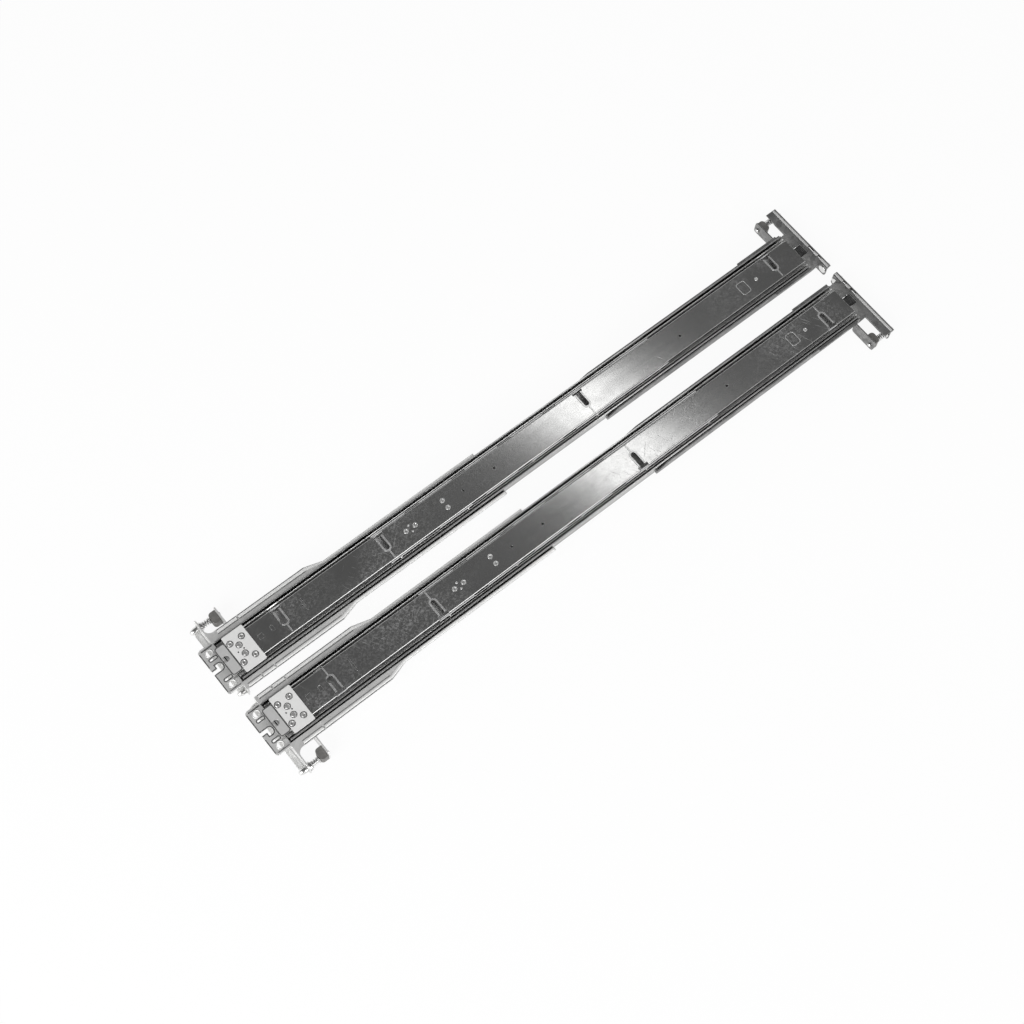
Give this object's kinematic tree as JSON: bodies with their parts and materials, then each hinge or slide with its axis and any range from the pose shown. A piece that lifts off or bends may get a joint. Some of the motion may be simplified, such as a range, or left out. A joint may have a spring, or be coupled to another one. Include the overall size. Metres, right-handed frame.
{
  "type": "sliding server rail pair",
  "caption": "Pair of mirrored ball-bearing server slides with tool-less rack brackets, sprung studs, a front latch and open slots for a server's side studs.",
  "frame": {"origin": "middle of the pair on the surface that it lies on", "axes": "+X towards the rack's front, +Y towards the right-hand rail's upper edge, +Z out of the server sides of both rails"},
  "size_m": [0.7618, 0.1814, 0.0273],
  "materials": {
    "member_steel": "bright zinc plate, satin",
    "middle_steel": "bright zinc plate, satin",
    "inner_steel": "bright zinc plate, satin",
    "bracket_steel": "galvanised sheet, satin",
    "link_steel": "galvanised sheet, matt",
    "cage_steel": "bare strip, satin",
    "ball_steel": "polished",
    "stud_steel": "turned, satin",
    "guide_zinc": "die-cast, dark",
    "latch_black": "black, satin",
    "rivet_steel": "zinc plate",
    "spring_steel": "wire, satin"
  },
  "bodies": {
    "fixed_rails": {"right_outer_member": "member_steel", "right_slide_rivets": "rivet_steel", "right_front_bracket": "bracket_steel", "right_front_rivets": "rivet_steel", "right_front_fixed_stud": "stud_steel", "right_front_stud_guide": "guide_zinc", "right_front_stud_spring": "spring_steel", "right_latch_pin": "stud_steel", "right_latch_spring": "spring_steel", "left_outer_member": "member_steel", "left_slide_rivets": "rivet_steel", "left_front_bracket": "bracket_steel", "left_front_rivets": "rivet_steel", "left_front_fixed_stud": "stud_steel", "left_front_stud_guide": "guide_zinc", "left_front_stud_spring": "spring_steel", "left_latch_pin": "stud_steel", "left_latch_spring": "spring_steel"},
    "right_rear_bracket": {"right_rear_bracket": "bracket_steel", "right_rear_flange": "bracket_steel", "right_rear_fixed_stud": "stud_steel", "right_rear_stud_guide": "guide_zinc", "right_rear_stud_spring": "spring_steel"},
    "right_intermediate": {"right_intermediate_member": "middle_steel"},
    "right_outer_cage": {"right_outer_cage": "cage_steel", "right_outer_balls": "ball_steel"},
    "right_inner": {"right_inner_member": "inner_steel", "right_link_plate": "link_steel", "right_link_rivets": "rivet_steel", "right_tongue": "inner_steel", "right_travel_stop": "inner_steel", "right_inner_rivets": "rivet_steel", "right_lock_spring": "spring_steel"},
    "right_inner_cage": {"right_inner_cage": "cage_steel", "right_inner_balls": "ball_steel"},
    "right_front_stud": {"right_front_sprung_stud": "stud_steel"},
    "right_rear_stud": {"right_rear_sprung_stud": "stud_steel"},
    "right_latch": {"right_front_latch": "latch_black"},
    "right_lock": {"right_lock_lever": "inner_steel"},
    "left_rear_bracket": {"left_rear_bracket": "bracket_steel", "left_rear_flange": "bracket_steel", "left_rear_fixed_stud": "stud_steel", "left_rear_stud_guide": "guide_zinc", "left_rear_stud_spring": "spring_steel"},
    "left_intermediate": {"left_intermediate_member": "middle_steel"},
    "left_outer_cage": {"left_outer_cage": "cage_steel", "left_outer_balls": "ball_steel"},
    "left_inner": {"left_inner_member": "inner_steel", "left_link_plate": "link_steel", "left_link_rivets": "rivet_steel", "left_tongue": "inner_steel", "left_travel_stop": "inner_steel", "left_inner_rivets": "rivet_steel", "left_lock_spring": "spring_steel"},
    "left_inner_cage": {"left_inner_cage": "cage_steel", "left_inner_balls": "ball_steel"},
    "left_front_stud": {"left_front_sprung_stud": "stud_steel"},
    "left_rear_stud": {"left_rear_sprung_stud": "stud_steel"},
    "left_latch": {"left_front_latch": "latch_black"},
    "left_lock": {"left_lock_lever": "inner_steel"}
  },
  "joints": [
    {"name": "right_rear_bracket_slide", "type": "slide", "parent": "fixed_rails", "child": "right_rear_bracket", "axis": [1, 0, 0], "range_m": [-0.178, 0]},
    {"name": "right_intermediate_slide", "type": "slide", "parent": "fixed_rails", "child": "right_intermediate", "axis": [1, 0, 0], "range_m": [0, 0.35]},
    {"name": "right_outer_cage_slide", "type": "slide", "parent": "fixed_rails", "child": "right_outer_cage", "axis": [1, 0, 0], "range_m": [0, 0.175]},
    {"name": "right_inner_slide", "type": "slide", "parent": "right_intermediate", "child": "right_inner", "axis": [1, 0, 0], "range_m": [0, 0.35]},
    {"name": "right_inner_cage_slide", "type": "slide", "parent": "right_intermediate", "child": "right_inner_cage", "axis": [1, 0, 0], "range_m": [0, 0.175]},
    {"name": "right_front_stud_slide", "type": "slide", "parent": "fixed_rails", "child": "right_front_stud", "axis": [-1, 0, 0], "range_m": [0, 0.007], "stiffness_N_per_m": 1200, "springref_m": -0.003, "deforming": ["right_front_stud_spring"]},
    {"name": "right_rear_stud_slide", "type": "slide", "parent": "right_rear_bracket", "child": "right_rear_stud", "axis": [1, 0, 0], "range_m": [0, 0.007], "stiffness_N_per_m": 1200, "springref_m": -0.003, "deforming": ["right_rear_stud_spring"]},
    {"name": "right_latch_hinge", "type": "hinge", "parent": "fixed_rails", "child": "right_latch", "pos_m": [0.3479, 0.0373, 0.0096], "axis": [0, 1, 0], "range_deg": [0, 8], "stiffness_Nm_per_rad": 0.6, "springref_deg": -8.59, "deforming": ["right_latch_spring"]},
    {"name": "right_lock_hinge", "type": "hinge", "parent": "right_inner", "child": "right_lock", "pos_m": [-0.1078, 0.0413, 0.0232], "axis": [0, 0, -1], "range_deg": [0, 8], "stiffness_Nm_per_rad": 0.3, "springref_deg": -5.73, "deforming": ["right_lock_spring"]},
    {"name": "left_rear_bracket_slide", "type": "slide", "parent": "fixed_rails", "child": "left_rear_bracket", "axis": [1, 0, 0], "range_m": [-0.178, 0]},
    {"name": "left_intermediate_slide", "type": "slide", "parent": "fixed_rails", "child": "left_intermediate", "axis": [1, 0, 0], "range_m": [0, 0.35]},
    {"name": "left_outer_cage_slide", "type": "slide", "parent": "fixed_rails", "child": "left_outer_cage", "axis": [1, 0, 0], "range_m": [0, 0.175]},
    {"name": "left_inner_slide", "type": "slide", "parent": "left_intermediate", "child": "left_inner", "axis": [1, 0, 0], "range_m": [0, 0.35]},
    {"name": "left_inner_cage_slide", "type": "slide", "parent": "left_intermediate", "child": "left_inner_cage", "axis": [1, 0, 0], "range_m": [0, 0.175]},
    {"name": "left_front_stud_slide", "type": "slide", "parent": "fixed_rails", "child": "left_front_stud", "axis": [-1, 0, 0], "range_m": [0, 0.007], "stiffness_N_per_m": 1200, "springref_m": -0.003, "deforming": ["left_front_stud_spring"]},
    {"name": "left_rear_stud_slide", "type": "slide", "parent": "left_rear_bracket", "child": "left_rear_stud", "axis": [1, 0, 0], "range_m": [0, 0.007], "stiffness_N_per_m": 1200, "springref_m": -0.003, "deforming": ["left_rear_stud_spring"]},
    {"name": "left_latch_hinge", "type": "hinge", "parent": "fixed_rails", "child": "left_latch", "pos_m": [0.3479, -0.0373, 0.0096], "axis": [0, 1, 0], "range_deg": [0, 8], "stiffness_Nm_per_rad": 0.6, "springref_deg": -8.59, "deforming": ["left_latch_spring"]},
    {"name": "left_lock_hinge", "type": "hinge", "parent": "left_inner", "child": "left_lock", "pos_m": [-0.1078, -0.0413, 0.0232], "axis": [0, 0, 1], "range_deg": [0, 8], "stiffness_Nm_per_rad": 0.3, "springref_deg": -5.73, "deforming": ["left_lock_spring"]}
  ],
  "couplings": [
    {"joint": "right_outer_cage_slide", "follows": "right_intermediate_slide", "ratio": 0.5},
    {"joint": "right_inner_cage_slide", "follows": "right_inner_slide", "ratio": 0.5},
    {"joint": "left_outer_cage_slide", "follows": "left_intermediate_slide", "ratio": 0.5},
    {"joint": "left_inner_cage_slide", "follows": "left_inner_slide", "ratio": 0.5}
  ]
}
